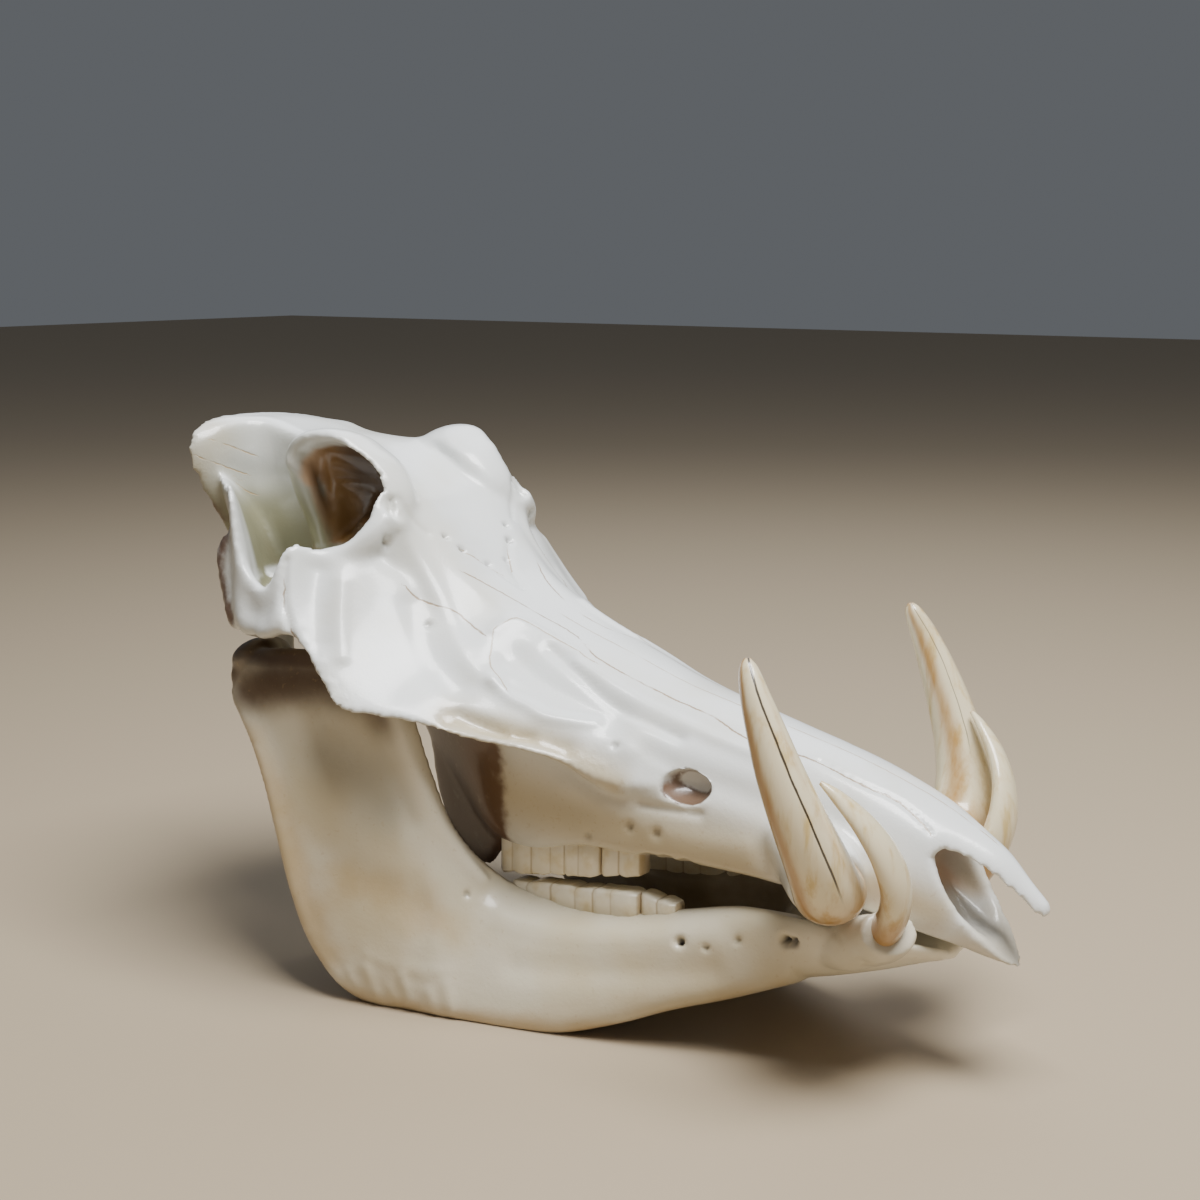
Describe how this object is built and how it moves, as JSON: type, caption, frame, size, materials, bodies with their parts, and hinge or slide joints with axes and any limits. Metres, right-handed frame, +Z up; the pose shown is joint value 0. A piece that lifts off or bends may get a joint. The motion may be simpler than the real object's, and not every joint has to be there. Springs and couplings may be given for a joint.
{
  "type": "warthog boar skull",
  "caption": "Whole skull of a warthog boar with its lower jaw, curling upper tusks, lower tusks and cheek teeth, standing on the curve of its jaw",
  "frame": {"origin": "the middle of the bounding box's bottom, on the surface that the jaw stands on", "axes": "+X forward along the snout, +Y to the animal's left, +Z up; the skull is the same on both sides of the XZ plane, but for a nape that leans 2 to 6 mm to the left"},
  "size_m": [0.3763, 0.1879, 0.234],
  "materials": {
    "bone": "clean white bone, thinly lacquered",
    "jaw_bone": "bone stained cream, thinly lacquered",
    "ivory": "polished tusk, cream to golden brown",
    "tooth": "cream enamel, satin"
  },
  "bodies": {
    "root": {"cranium": "bone", "mandible": "jaw_bone", "upper_tusk_right": "ivory", "upper_tusk_left": "ivory", "lower_tusk_right": "ivory", "lower_tusk_left": "ivory", "upper_rear_molar_right": "tooth", "upper_rear_molar_left": "tooth", "upper_front_molar_right": "tooth", "upper_front_molar_left": "tooth", "lower_rear_molar_right": "tooth", "lower_rear_molar_left": "tooth", "lower_front_molar_right": "tooth", "lower_front_molar_left": "tooth"}
  },
  "joints": []
}
